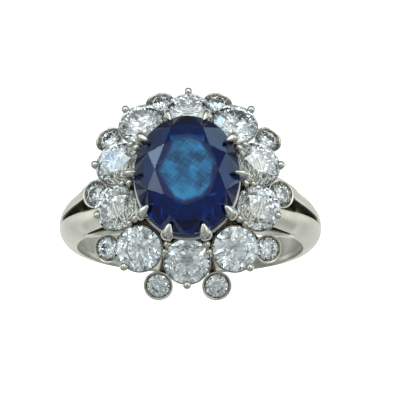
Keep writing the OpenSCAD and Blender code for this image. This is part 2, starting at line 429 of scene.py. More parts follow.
def drawn(name: str, stations: Sequence[tuple[float, float, float]], widen: float = 1.0) -> Object:
    """Draws a bent wire in the XZ plane out of a disc, station by station.

    Args:
        name: The piece's name.
        stations: X, Z and radius of each section. Each section is square to the wire there.
        widen: Width along Y over the thickness in the plane.

    Returns:
        The closed wire.
    """
    points = [Vector((x, 0.0, z)) for x, z, _ in stations]
    radii = [r for _, _, r in stations]
    steps = [b - a for a, b in zip(points, points[1:])]
    headings = [steps[0]] + [a.normalized() + b.normalized() for a, b in zip(steps, steps[1:])] + [steps[-1]]
    angles = [atan2(h.x, h.z) for h in headings]
    obj = started(
        name,
        bpy.ops.mesh.primitive_circle_add,
        vertices=WIRE_SIDES,
        radius=radii[0],
        fill_type="NGON",
        location=points[0],
        rotation=(0, angles[0], 0),
    )
    with editing(obj):
        pick_all()
        for k in range(1, len(points)):
            extrude(steps[k - 1])
            turn = angles[k - 1] - angles[k]
            bpy.ops.transform.rotate(value=turn, orient_axis="Y", center_override=points[k])
            scale((radii[k] / radii[k - 1],) * 3, points[k])
        pick_all()
        scale((1.0, widen, 1.0))
        face_out()
    return obj


def cut_out(obj: Object, cutter: Object) -> None:
    """Cuts a shape out of a piece, and discards the shape.

    Args:
        obj: The piece.
        cutter: The shape.
    """
    modifier = obj.modifiers.new("cut", "BOOLEAN")
    modifier.operation = "DIFFERENCE"
    modifier.object = cutter
    finish_modifiers(obj)
    discard(cutter)


def beaded(name: str, middle: Sequence[float], radius: float) -> Object:
    """Punches a bead, a ball that the tool leaves a little flat.

    Args:
        name: The bead's name.
        middle: Its middle.
        radius: Its radius.

    Returns:
        The bead.
    """
    ball = {"segments": 24, "ring_count": 14, "radius": radius}
    obj = started(name, bpy.ops.mesh.primitive_uv_sphere_add, location=middle, **ball)
    with editing(obj):
        pick(Pick.VERTS, lambda p: p.z > middle[2])
        scale((1, 1, BEAD_FLAT), middle)
    bpy.ops.object.shade_smooth()
    return obj


def darken(obj: Object, test: Callable[[Vector], bool], index: int = 1) -> None:
    """Gives one of an object's duller materials to the faces that polish never reaches. Most of these
    materials are dirt with painted shade of recesses and gaps.

    Args:
        obj: A piece with a polished and one or more dull materials.
        test: Says of a face's middle whether it is dull.
        index: Which of its materials they get.
    """
    with editing(obj):
        pick(Pick.FACES, test)
        obj.active_material_index = index
        bpy.ops.object.material_slot_assign()


def coat(obj: Object, *finishes: Material) -> None:
    """Gives a piece its materials. The first covers all of it, and darken() gives faces to the others."""
    for finish in finishes:
        obj.data.materials.append(finish)


def dress(obj: Object, *finishes: Material) -> None:
    """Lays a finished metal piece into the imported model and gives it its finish.

    Args:
        obj: A piece in the ring's frame.
        finishes: Its materials, where it has none yet.
    """
    obj.data.transform(RING)
    coat(obj, *finishes)
    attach(obj, BODY)
    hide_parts("mount")
    log.info("%s: %d faces", obj.name, len(obj.data.polygons))


def linear(hex_colour: str) -> tuple[float, float, float, float]:
    """Turns an sRGB hex colour into linear values with an alpha of 1."""
    values = [int(hex_colour[k : k + 2], 16) / 255 for k in (1, 3, 5)]
    return (*[v / 12.92 if v <= 0.04045 else ((v + 0.055) / 1.055) ** 2.4 for v in values], 1.0)


def add_node(tree: NodeTree, kind: str, settings: dict | None = None, **inputs: Any) -> Node:
    """Adds a node to a tree, sets it and links it.

    Args:
        tree: The material's or world's node tree.
        kind: The node's type, without its "ShaderNode" prefix.
        settings: Properties of the node.
        inputs: Values or output sockets for its inputs, by name with _ for a space, or by number as _0.

    Returns:
        The new node.
    """
    node = tree.nodes.new("ShaderNode" + kind)
    for key, value in (settings or {}).items():
        setattr(node, key, value)
    for key, value in inputs.items():
        socket = node.inputs[int(key[1:])] if key[1:].isdigit() else node.inputs[key.replace("_", " ")]
        if isinstance(value, NodeSocket):
            tree.links.new(value, socket)
        else:
            socket.default_value = value
    return node


def blank_material(name: str) -> tuple[Material, NodeTree, Node]:
    """Makes a material with an empty tree.

    Args:
        name: The material's name.

    Returns:
        The material, its tree and its output node.
    """
    material = bpy.data.materials.new(name)
    material.use_nodes = True
    tree = material.node_tree
    tree.nodes.clear()
    return material, tree, tree.nodes.new("ShaderNodeOutputMaterial")


@dataclass(frozen=True)
class WhiteGold:
    """White gold, cast, filed and buffed. It is a warm grey mirror, with fine marks where it is handled."""

    name: str
    colour: str = "#dad7cb"
    worn: str = "#cecabd"
    roughness: float = 0.12
    wear: float = 0.10
    cloud_mm: float = 2.5
    cloud_range: tuple = (0.35, 0.65)
    scratch_mm: float = 0.35
    bump_mm: float = 0.004
    bump_strength: float = 0.35

    def build(self) -> Material:
        """Builds the metal with clouded roughness and fine marks.

        Returns:
            The metal.
        """
        material, tree, out = blank_material(self.name)
        place = add_node(tree, "TexCoord").outputs["Object"]
        cloud_size, mark_size = self.cloud_mm * MM, self.scratch_mm * MM
        cloud = add_node(tree, "TexNoise", Vector=place, Scale=1 / cloud_size, Detail=3.0).outputs["Fac"]
        marks = add_node(tree, "TexNoise", Vector=place, Scale=1 / mark_size, Detail=4.0).outputs["Fac"]
        colour = add_node(tree, "Mix", COLOURS, Factor=cloud, _6=linear(self.colour), _7=linear(self.worn))
        rough = add_node(
            tree,
            "MapRange",
            Value=cloud,
            From_Min=self.cloud_range[0],
            From_Max=self.cloud_range[1],
            To_Min=self.roughness,
            To_Max=self.roughness + self.wear,
        )
        bump = add_node(tree, "Bump", Strength=self.bump_strength, Distance=self.bump_mm * MM, Height=marks)
        shader = add_node(
            tree,
            "BsdfPrincipled",
            Base_Color=colour.outputs[2],
            Metallic=1.0,
            Roughness=rough.outputs["Result"],
            Normal=bump.outputs["Normal"],
        )
        tree.links.new(shader.outputs[0], out.inputs["Surface"])
        return material


@dataclass(frozen=True)
class DirtAndPaintedShade:
    """Soldered white gold that polish never reaches. Old dirt and tarnish leave it dull brown, and its
    darkness is also painted shade of the recesses and gaps that it lines.
    """

    name: str = "tarnish_and_painted_shade"
    colour: str = "#31281e"
    bare: str = "#8f8571"
    grain_mm: float = 0.14
    patches: tuple = (0.36, 0.68)
    metallic: float = 0.85
    roughness: float = 0.42

    def build(self) -> Material:
        """Builds dull metal with dirt in patches.

        Returns:
            The metal.
        """
        material, tree, out = blank_material(self.name)
        place = add_node(tree, "TexCoord").outputs["Object"]
        size = self.grain_mm * MM
        dirt = add_node(tree, "TexNoise", Vector=place, Scale=1 / size, Detail=5.0).outputs["Fac"]
        start, end = self.patches
        spread = add_node(tree, "MapRange", Value=dirt, From_Min=start, From_Max=end).outputs["Result"]
        colour = add_node(tree, "Mix", COLOURS, Factor=spread, _6=linear(self.colour), _7=linear(self.bare))
        shader = add_node(
            tree,
            "BsdfPrincipled",
            Base_Color=colour.outputs[2],
            Metallic=self.metallic,
            Roughness=self.roughness,
        )
        tree.links.new(shader.outputs[0], out.inputs["Surface"])
        return material


@dataclass(frozen=True)
class Diamond:
    """Diamond, cut and polished. Its high index sends light round the facets, so it looks white and grey."""

    name: str = "diamond"
    colour: str = "#f1f8f8"
    ior: float = 2.417

    def build(self) -> Material:
        """Builds the clear stone.

        Returns:
            The stone's material.
        """
        material, tree, out = blank_material(self.name)
        shader = add_node(
            tree,
            "BsdfPrincipled",
            Base_Color=linear(self.colour),
            Roughness=0.0,
            IOR=self.ior,
            Transmission_Weight=1.0,
        )
        tree.links.new(shader.outputs[0], out.inputs["Surface"])
        return material


@dataclass(frozen=True)
class Sapphire:
    """Blue sapphire, cut and polished. It drinks red and green light, and so is darker where it is thick."""

    name: str = "sapphire"
    colour: str = "#e8f0fa"
    deep: str = "#45c1df"
    ior: float = 1.77
    density_per_mm: float = 0.88

    def build(self) -> Material:
        """Builds the blue stone with its absorbing body.

        Returns:
            The stone's material.
        """
        material, tree, out = blank_material(self.name)
        shader = add_node(
            tree,
            "BsdfPrincipled",
            Base_Color=linear(self.colour),
            Roughness=0.0,
            IOR=self.ior,
            Transmission_Weight=1.0,
        )
        tree.links.new(shader.outputs[0], out.inputs["Surface"])
        body = add_node(tree, "VolumeAbsorption", Color=linear(self.deep), Density=self.density_per_mm / MM)
        tree.links.new(body.outputs[0], out.inputs["Volume"])
        return material


@dataclass(frozen=True)
class SilkAndPaintedGlow:
    """Rutile silk, fine needles in a sapphire, that make the stone's heart hazy. The heart also glows pale
    blue: painted light standing in for light that comes through the stone.
    """

    name: str = "rutile_silk_and_painted_glow"
    pale: str = "#52badf"
    deep: str = "#2a6c90"
    thin: str = "#1c3f96"
    cloud_mm: float = 1.5
    needle_mm: float = 0.15
    needle_stretch: float = 8.0
    needle_bend: float = 0.6
    leans: tuple = (52.0, -33.0)
    # Weight of broad clouds against needles, and the sums between which the silk turns from deep to pale
    broad: float = 2.7
    pale_range: tuple = (2.05, 2.8)
    # How opaque the silk is: round the cloud, where that fades out, in its heart, and the share of the
    # heart's where the silk is deep
    haze: float = 0.16
    haze_range: tuple = (2.3, 1.5)
    heart: float = 0.94
    deep_heart: float = 0.55
    # How strongly the silk glows: painted light that brightens the stone's heart
    painted_glow: float = 0.47
    # The pavilion's facets that mirror it give the cloud straight sides: each one's direction and distance
    sides: tuple = (
        (155, 1.83),
        (104, 2.48),
        (67, 2.44),
        (33, 2.05),
        (-8, 1.8),
        (-40, 1.97),
        (-72, 2.07),
        (-111, 2.16),
        (-149, 1.73),
    )
    # How ragged its edge is, and where that edge lies, as shares of the way to the straight sides
    ragged: float = 0.07
    edge_range: tuple = (1.25, 1.11)
    # Towards the bottom the silk is paler: where, over what length and how much
    bottom: float = -0.9
    bottom_soft: float = 0.5
    bottom_lift: float = 0.3

    def build(self) -> Material:
        """Builds the haze as a soft scatter that glows as painted light, thick in the stone's heart and thin
        round it.

        Returns:
            The haze.
        """
        material, tree, out = blank_material(self.name)
        place = add_node(tree, "TexCoord").outputs["Object"]
        back = RING.inverted()
        turn = back.to_3x3().normalized().to_euler()
        flat = add_node(
            tree, "Mapping", Vector=place, Location=back.translation, Rotation=turn, Scale=(1 / MM,) * 3
        ).outputs[0]
        cloud = add_node(tree, "TexNoise", Vector=flat, Scale=1 / self.cloud_mm, Detail=2.0).outputs["Fac"]
        needles = [self.needles(tree, flat, lean) for lean in self.leans]
        hatch = add_node(tree, "Math", ADD, _0=needles[0], _1=needles[1]).outputs[0]
        mottle = add_node(tree, "Math", MULTIPLY_ADD, _0=cloud, _1=self.broad, _2=hatch).outputs[0]
        middle = (0, 0, SIZES.girdle)
        inside = add_node(tree, "VectorMath", SUBTRACT, _0=flat, _1=middle).outputs[0]
        up = add_node(tree, "VectorMath", DOT, _0=inside, _1=(0, 1, 0)).outputs["Value"]
        start, end = self.bottom + self.bottom_soft, self.bottom - self.bottom_soft
        low = add_node(tree, "MapRange", Value=up, From_Min=start, From_Max=end, To_Max=self.bottom_lift)
        lit = add_node(tree, "Math", ADD, _0=mottle, _1=low.outputs["Result"]).outputs[0]
        start, end = self.pale_range
        pale = add_node(tree, "MapRange", Value=lit, From_Min=start, From_Max=end).outputs["Result"]
        away = self.beyond(tree, inside)
        away = add_node(tree, "Math", MULTIPLY_ADD, _0=mottle, _1=self.ragged, _2=away).outputs[0]
        start, end = self.edge_range
        edge = add_node(tree, "MapRange", Value=away, From_Min=start, From_Max=end).outputs["Result"]
        heart = add_node(tree, "MapRange", Value=pale, To_Min=self.deep_heart * self.heart, To_Max=self.heart)
        start, end = self.haze_range
        veil = add_node(tree, "MapRange", Value=away, From_Min=start, From_Max=end, To_Max=self.haze)
        opaque = {"_2": veil.outputs["Result"], "_3": heart.outputs["Result"]}
        alpha = add_node(tree, "Mix", {"data_type": "FLOAT"}, Factor=edge, **opaque).outputs[0]
        thick = add_node(tree, "Mix", COLOURS, Factor=pale, _6=linear(self.deep), _7=linear(self.pale))
        both = {"_6": linear(self.thin), "_7": thick.outputs[2]}
        colour = add_node(tree, "Mix", COLOURS, Factor=edge, **both).outputs[2]
        shader = add_node(
            tree,
            "BsdfPrincipled",
            Base_Color=colour,
            Roughness=1.0,
            Specular_IOR_Level=0.0,
            Emission_Color=colour,
            Emission_Strength=self.painted_glow,
            Alpha=alpha,
        )
        tree.links.new(shader.outputs[0], out.inputs["Surface"])
        return material

    def beyond(self, tree: NodeTree, inside: NodeSocket) -> NodeSocket:
        """How far a point lies from the cloud's middle, as a share of the way to the cloud's straight sides.

        Args:
            tree: The material's node tree.
            inside: The point, from the cloud's middle.

        Returns:
            The share, which is 1 on the sides.
        """
        away = 0.0
        for angle, distance in self.sides:
            a = radians(angle)
            normal = (cos(a) / distance, sin(a) / distance, 0)
            side = add_node(tree, "VectorMath", DOT, _0=inside, _1=normal).outputs["Value"]
            away = add_node(tree, "Math", {"operation": "MAXIMUM"}, _0=away, _1=side).outputs[0]
        return away

    def needles(self, tree: NodeTree, flat: NodeSocket, lean: float) -> NodeSocket:
        """Draws out a fine noise along one crystal direction of the stone.

        Args:
            tree: The material's node tree.
            flat: The point in the ring's frame.
            lean: The direction, in degrees from the ring's X axis.

        Returns:
            The needles, from 0 to 1.
        """
        turn, stretch = (0, 0, radians(lean)), (self.needle_stretch, 1, 1)
        along = add_node(
            tree, "Mapping", {"vector_type": "TEXTURE"}, Vector=flat, Rotation=turn, Scale=stretch
        )
        fine = {"Scale": 1 / self.needle_mm, "Detail": 3.0, "Distortion": self.needle_bend}
        return add_node(tree, "TexNoise", Vector=along.outputs[0], **fine).outputs["Fac"]


class Finishes:
    """Every material of the ring, made once."""

    def __init__(self) -> None:
        """Builds them."""
        # Buffed white gold on claws, beads and rims: small bright lights on a warm grey mirror
        self.polished: Material = WhiteGold("polished_white_gold").build()
        # The same metal after years on a finger: its fine scratches spread each light into a broad sheen
        self.satin: Material = WhiteGold(
            "worn_white_gold", "#cbc7ba", "#bfbbae", roughness=0.22, wear=0.12
        ).build()
        # White gold where the buff never went, inside the hoop: a flat mid grey
        self.inner: Material = WhiteGold(
            "dull_white_gold", "#b4b4a8", "#96958a", roughness=0.3, wear=0.15
        ).build()
        # Old dirt in the recesses under the stones and in the gaps between parts, with painted shade there:
        # nearly black brown, with metal showing through in specks
        self.dark_dirt_and_shade: Material = DirtAndPaintedShade().build()
        # Thinner dirt with painted shade on the backs of the settings and under the plate, where they show in
        # the gaps: a dull grey brown
        self.grime_and_painted_shade: Material = DirtAndPaintedShade("grimy_white_gold_painted_shade", "#776f60", "#b5b0a2", 0.5).build()
        # Dirt packed against the small stones and rubbed bare on top, with the painted shade of the recess
        # between stone and rim: a mottled dark ring
        self.rubbed_rim_and_shade: Material = DirtAndPaintedShade("dirty_rim_painted_shade", "#443b30", "#a9a394", 0.2).build()
        # Polished diamond: white flashes and grey facets that change with the view
        self.diamond: Material = Diamond().build()
        # Polished blue sapphire: clear, royal blue at the edges and nearly black where light's way is long
        self.sapphire: Material = Sapphire().build()
        # Rutile needles inside the sapphire: a hazy, cross-hatched paler blue in its heart, which glows as
        # painted light
        self.silk_and_glow: Material = SilkAndPaintedGlow().build()


@dataclass
class Part:
    """A sub-assembly of the ring."""

    finishes: Finishes
    sizes: RingSizes = SIZES


@dataclass
class Shank(Part):
    """The hoop with its domed section, the four branches that it splits into, and the finger rail."""

    section_sides: int = 24
    section_cuts: int = 3
    hoop_steps: int = 18
    branch_steps: int = 6
    junction: float = 30.2
    branch_length: float = 6.46
    splay: float = 8.0
    split_start: float = 0.2
    split_radius: float = 42.0
    # Dirt with painted shade lies in the split from this height up, and wear inside the hoop below the next,
    # to a half width
    dirt_and_shade_from: float = 2.0
    worn_below: float = 5.0
    worn_inside: float = 0.9
    # How near the split, the inside of the hoop and the rail's outside a face lies to count as theirs
    gap_skin: float = 0.05
    inner_skin: float = 0.04
    outer_skin: float = 0.03
    start_gap: float = 0.03
    curve_top: float = 5.5
    slit_step: float = 0.6
    merge: float = 0.002
    rail_start: float = 27.0
    rail_steps: int = 30
    rail_inset: float = 0.04
    rail_ease: float = 0.08
    slot_x: float = 3.6
    slot_y: float = 1.1
    slot_deep: float = 4.0
    slot_round: float = 0.6
    # The rail stands a little proud of the branches where it nears the head
    proud: float = 0.45
    proud_from: float = 3.8
    proud_rise: float = 0.14
    edge_strip: float = 1.75

    def build(self) -> None:
        """Builds the hoop and the rail."""
        hoop, rail = self.hoop(), self.rail()
        for obj in (hoop, rail):
            coat(obj, self.finishes.satin, self.finishes.dark_dirt_and_shade, self.finishes.inner)
        inside, outside = self.sizes.bore + self.inner_skin, self.sizes.rail - self.outer_skin
        # The split and the rail's outer strip under it are darkened: dirt with painted shade
        darken(hoop, lambda p: p.z > self.dirt_and_shade_from and abs(p.y) < self.half_gap(p.z) + self.gap_skin)
        darken(rail, lambda p: hypot(p.x, p.z) > outside and abs(p.y) < self.edge_strip)
        worn_z, worn_y = self.worn_below, self.worn_inside
        darken(hoop, lambda p: p.z < worn_z and hypot(p.x, p.z) < inside and abs(p.y) < worn_y, 2)
        darken(rail, lambda p: hypot(p.x, p.z) < inside, 2)
        dress(hoop)
        dress(rail)

    def half_gap(self, z: float) -> float:
        """Half of the gap between the front and the back branch.

        Args:
            z: The height in the ring's frame.

        Returns:
            Half of the gap, and 0 below the split.
        """
        rise = min(z, self.curve_top) - self.split_start
        if rise < 0:
            return 0.0
        arc = self.start_gap + self.split_radius - sqrt(self.split_radius**2 - rise * rise)
        return arc + tan(radians(self.splay)) * max(z - self.curve_top, 0.0)

    def fit_width(self, at: Callable[[Vector], bool], z: float) -> None:
        """Brings one section of the half shank to its width and its side of the split.

        Args:
            at: Says whether a point belongs to the section.
            z: The section's height in the ring's frame.
        """
        s = self.sizes
        inner, outer = self.half_gap(z), s.half_width(z)
        pick(Pick.VERTS, at)
        scale((1, (outer - inner) / s.dome, 1))
        if inner:
            bpy.ops.transform.translate(value=(0, inner, 0))

    def hoop(self) -> Object:
        """Spins half a section from the junction to the hoop's foot, draws out a branch and mirrors both.

        Returns:
            The hoop with its four branches.
        """
        s = self.sizes
        obj = started(
            "hoop",
            bpy.ops.mesh.primitive_circle_add,
            vertices=self.section_sides,
            radius=s.dome,
            fill_type="NGON",
            location=(0, 0, s.dome - s.crown),
            rotation=(0, pi / 2, 0),
        )
        turn = radians(90 + self.junction)
        step = self.branch_length / self.branch_steps
        with editing(obj):
            pick_all()
            bpy.ops.mesh.bisect(plane_co=(0, 0, -s.bore), plane_no=(0, 0, 1), clear_outer=True)
            pick_all()
            bpy.ops.mesh.bisect(plane_co=(0, 0, 0), plane_no=(0, 1, 0), clear_inner=True)
            pick(Pick.EDGES, lambda p: p.y < NEAR or p.z > -s.bore - NEAR)
            bpy.ops.mesh.subdivide(number_cuts=self.section_cuts)
            bpy.ops.mesh.select_mode(type="FACE")
            pick_all()
            bpy.ops.mesh.spin(steps=self.hoop_steps, angle=turn, center=(0, 0, 0), axis=(0, -1, 0))
            # The branch leaves the other face. Its underside stands a slit above the rail.
            pick(Pick.FACES, lambda p: abs(p.x) < NEAR)
            extrude((self.slit_step, 0, 0))
            scale((1, 1, (s.crown - s.under) / (s.crown - s.bore)), (0, 0, -s.crown))
            extrude((step - self.slit_step, 0, 0))
            for _ in range(self.branch_steps - 1):
                extrude((step, 0, 0))
            middle, base = (s.bore + s.crown) / 2, radians(self.junction)
            for k in range(self.hoop_steps + 1):
                back = turn * k / self.hoop_steps
                z = middle * sin(base - back)
                self.fit_width(lambda p: abs(atan2(-p.x, -p.z) - back) < LOOSE and p.x < NEAR, z)
            for x in [self.slit_step] + [step * k for k in range(1, self.branch_steps + 1)]:
                self.fit_width(lambda p: abs(p.x - x) < NEAR, middle * sin(base) + x * cos(base))
            pick(Pick.FACES, lambda p: p.y < NEAR or abs(atan2(-p.x, -p.z) - turn) < NEAR)
            bpy.ops.mesh.delete(type="FACE")
        obj.data.transform(Matrix.Rotation(-turn, 4, "Y"))
        mirror = obj.modifiers.new("halves", "MIRROR")
        mirror.use_axis = (True, True, False)
        mirror.merge_threshold = self.merge
        subdivided(obj)
        with editing(obj):
            face_out()
        return obj

    def rail(self) -> Object:
        """Spins the band that closes the hoop over the finger, and cuts the light slot under the sapphire.

        Returns:
            The band, with its ends inside the hoop.
        """
        s = self.sizes
        middle = (0, 0, -(s.bore + s.rail) / 2)
        plane = {"size": 1, "location": middle, "rotation": (0, pi / 2, 0)}
        obj = started("finger_rail", bpy.ops.mesh.primitive_plane_add, **plane)
        sweep = radians(180 - 2 * self.rail_start)
        with editing(obj):
            pick_all()
            scale((1, 1, s.rail - s.bore), middle)
            bpy.ops.mesh.spin(steps=self.rail_steps, angle=sweep, center=(0, 0, 0), axis=(0, -1, 0))
            for k in range(self.rail_steps + 1):
                back = sweep * k / self.rail_steps
                z = s.rail * sin(radians(self.rail_start) + back)
                more = min(max(z - self.proud_from, 0.0) * self.proud_rise, self.proud)
                pick(Pick.VERTS, lambda p: abs(atan2(-p.x, -p.z) % tau - back) < LOOSE)
                scale((1, 2 * (s.half_width(z) + more) - self.rail_inset, 1))
            for y in (-self.edge_strip, self.edge_strip):
                pick_all()
                bpy.ops.mesh.bisect(plane_co=(0, y, 0), plane_no=(0, 1, 0))
            face_out()
        obj.data.transform(Matrix.Rotation(radians(self.rail_start - 270), 4, "Y"))
        cut_out(obj, self.slot_cutter())
        return eased(obj, self.rail_ease)

    def slot_cutter(self) -> Object:
        """Shapes the light slot as a block with round corners.

        Returns:
            The block.
        """
        middle = (0, 0, self.sizes.rail)
        obj = started("slot", bpy.ops.mesh.primitive_cube_add, size=1, location=middle)
        with editing(obj):
            pick_all()
            scale((2 * self.slot_x, 2 * self.slot_y, self.slot_deep), middle)
            pick(Pick.EDGES, lambda p: abs(p.x) > self.slot_x - LOOSE and abs(p.y) > self.slot_y - LOOSE)
            bpy.ops.mesh.bevel(offset=self.slot_y * self.slot_round, segments=6)
        return obj


@dataclass
class Basket(Part):
    """The round gallery wire and its plate under the diamonds, and two oval bands round the pavilion."""

    wire: float = 0.3
    wire_sides: int = 16
    foot_band: float = 0.5
    collar_in: float = 0.12
    collar_drop: float = 1.3
    collar_band: float = 0.36
    plate: float = 0.3
    plate_up: float = 0.2
    plate_ease: float = 0.03
    plate_skin: float = 0.02
    band_ease: float = 0.25
    hole: float = 0.76
    drill_drop: float = 1.4
    round_sides: int = 96
    oval_sides: int = 72

    def build(self) -> None:
        """Builds the gallery wire, the plate, the foot of the basket and its collar."""
        s = self.sizes
        corners = [radians(360 / self.wire_sides * k) for k in range(self.wire_sides)]
        loop = [(s.gallery_r + self.wire * cos(a), s.gallery_z + self.wire * sin(a)) for a in corners]
        gallery = turned("gallery_wire", loop, self.round_sides)
        only(gallery)
        bpy.ops.object.shade_smooth()
        dress(gallery, self.finishes.polished)
        self.build_plate()
        # The foot under the sapphire is near-black: dirt with painted shade
        self.oval("basket_foot", s.foot_in, s.foot_drop, self.foot_band, self.finishes.dark_dirt_and_shade)
        self.oval("basket_collar", self.collar_in, self.collar_drop, self.collar_band, self.finishes.satin)

    def build_plate(self) -> None:
        """Turns the plate from the basket's foot out to the wire, and pierces it under the large diamonds.
        Its near-black top and grey-brown underside are dirt with painted shade of the gaps under the head.
        """
        s = self.sizes
        low, inner = s.gallery_z + self.plate_up, s.sapphire_a - s.foot_in
        high, outer = low + self.plate, s.gallery_r
        section = [(inner, low), (outer, low), (outer, high), (inner, high)]
        obj = turned("gallery_plate", section, self.round_sides)
        with editing(obj):
            pick(Pick.VERTS, lambda p: hypot(p.x, p.y) < inner + LOOSE)
            scale((1, (s.sapphire_b - s.foot_in) / inner, 1), (0, 0, low))
        bore = {"vertices": 32, "radius": self.hole, "depth": 2, "location": (0, 0, -self.drill_drop)}
        drill = started("drill", bpy.ops.mesh.primitive_cylinder_add, **bore)
        holes = joined([copied(drill, f"hole_{k}", s.large_seat(k)) for k in range(STONES)], "holes")
        discard(drill)
        cut_out(obj, holes)
        eased(obj, self.plate_ease, 2)
        # Top near-black, underside grey brown: dirt with painted shade of the gaps under the head
        coat(obj, self.finishes.dark_dirt_and_shade, self.finishes.grime_and_painted_shade)
        darken(obj, lambda p: p.z < low + self.plate_skin)
        dress(obj)

    def oval(self, name: str, inset: float, drop: float, band: float, finish: Material) -> None:
        """Turns a square band, draws it out to the sapphire's oval and eases its edges.

        Args:
            name: The piece's name.
            inset: How far its middle lies inside the sapphire's outline.
            drop: How far its middle lies below the sapphire's girdle.
            band: Its thickness and height.
            finish: Its material.
        """
        s = self.sizes
        a, b, h, z = s.sapphire_a - inset, s.sapphire_b - inset, band / 2, s.girdle - drop
        obj = turned(name, [(a - h, z - h), (a + h, z - h), (a + h, z + h), (a - h, z + h)], self.oval_sides)
        with editing(obj):
            pick_all()
            scale((1, b / a, 1), (0, 0, z))
        dress(eased(obj, band * self.band_ease), finish)


@dataclass(frozen=True)
class Wall:
    """The lower outer wall of a turned setting: below a top, and outside a cone that widens upward."""

    top: float
    foot: float
    reach: float
    flare: float

    def has(self, p: Vector) -> bool:
        """Whether a point lies on it."""
        return p.z < self.top and hypot(p.x, p.y) > self.reach + self.flare * (p.z - self.foot)


@dataclass
class LargeSettings(Part):
    """The ten cups of the large diamonds, each with a beaded claw on its outer side."""

    cup: tuple = (
        (1.08, -1.35),
        (1.30, -1.02),
        (1.62, -0.50),
        (1.77, -0.24),
        (1.78, -0.13),
        (1.72, -0.07),
        (1.60, -0.18),
        (1.45, -0.36),
        (0.80, -0.99),
        (0.75, -1.35),
    )
    claw: tuple = (
        (1.10, -1.20, 0.18),
        (1.45, -0.74, 0.24),
        (1.70, -0.36, 0.25),
        (1.82, -0.06, 0.27),
        (1.80, 0.20, 0.24),
    )
    bead: float = 0.31
    bead_at: tuple = (1.74, 0.0, 0.27)
    # Turn of each outer claw round its stone, away from the small bezels, in degrees
    claw_turn: tuple = (0.0, -8.0, -17.0, 0.0, 4.0, 0.0, -6.0, 0.0, 17.0, 8.0)
    # How far each is pressed in over its stone
    claw_in: tuple = (0.04, 0.04, 0.06, 0.2, 0.0, 0.0, 0.0, 0.2, 0.06, 0.04)
    cup_sides: int = 64
    cup_ease: float = 0.02
    # The rim is polished outside this reach and above this height; the rest of the cup takes dirt with
    # painted shade
    rim: float = 1.5
    rim_low: float = -0.3
    grime_and_shade_wall: Wall = Wall(top=-0.45, foot=-1.35, reach=1.0, flare=0.6)

    def build(self) -> None:
        """Builds one setting and copies it to the ten seats."""
        cup = turned("cup", self.cup, self.cup_sides)
        eased(cup, self.cup_ease, 2)
        wire = subdivided(drawn("outer_wire", self.claw))
        claw = joined([wire, beaded("outer_bead", self.bead_at, self.bead)], "outer_claw")
        for obj in (cup, claw):
            coat(obj, self.finishes.polished, self.finishes.dark_dirt_and_shade, self.finishes.grime_and_painted_shade)
        # The cup's inside, its foot and its lower outer wall are darkened: dirt with painted shade of the
        # recess and the gaps
        darken(cup, lambda p: hypot(p.x, p.y) < self.rim or p.z < self.rim_low)
        darken(cup, self.grime_and_shade_wall.has, 2)
        for k in range(STONES):
            place = self.sizes.large_seat(k)
            turn = Matrix.Rotation(radians(self.claw_turn[k]), 4, "Z")
            turn = turn @ Matrix.Translation((-self.claw_in[k], 0, 0))
            parts = [copied(cup, f"cup_{k}", place), copied(claw, f"claw_{k}", place @ turn)]
            dress(joined(parts, f"large_setting_{k + 1:02d}"))
        discard(cup)
        discard(claw)


@dataclass
class NotchBeads(Part):
    """The beads that two neighbouring large diamonds share, a pair in each notch of the circle."""

    bead: float = 0.3
    second: float = 0.26
    apart: float = 0.55
    rise: float = 0.74
    step_down: float = 0.22
    foot: float = 0.1
    neck: float = 0.8

    def reach(self, k: int) -> float:
        """How far from the head's axis an inner bead stands.

        Args:
            k: The large diamond before it.

        Returns:
            The reach of the bead's middle.
        """
        s = self.sizes
        p, q = s.large_seat(k).translation, s.large_seat((k + 1) % STONES).translation
        middle = (p + q) / 2
        return hypot(middle.x, middle.y) - sqrt((s.large_r + self.bead) ** 2 - ((p - q).length / 2) ** 2)

    def build(self) -> None:
        """Builds a tall and a short beaded claw in each of the ten notches."""
        s = self.sizes
        top, bottom = s.large_z + self.rise, s.gallery_z + self.foot
        for k in range(STONES):
            r = self.reach(k)
            parts = []
            for x, z, size in ((r, top, self.bead), (r + self.apart, top - self.step_down, self.second)):
                neck = size * self.neck
                post = drawn("post", [(x, bottom, neck), (x, (bottom + z) / 2, neck), (x, z, neck)])
                parts += [subdivided(post), beaded("bead", (x, 0, z), size)]
            pair = joined(parts, f"bead_pair_{k + 1:02d}")
            pair.data.transform(Matrix.Rotation(radians(s.small_at[k]), 4, "Z"))
            dress(pair, self.finishes.polished)


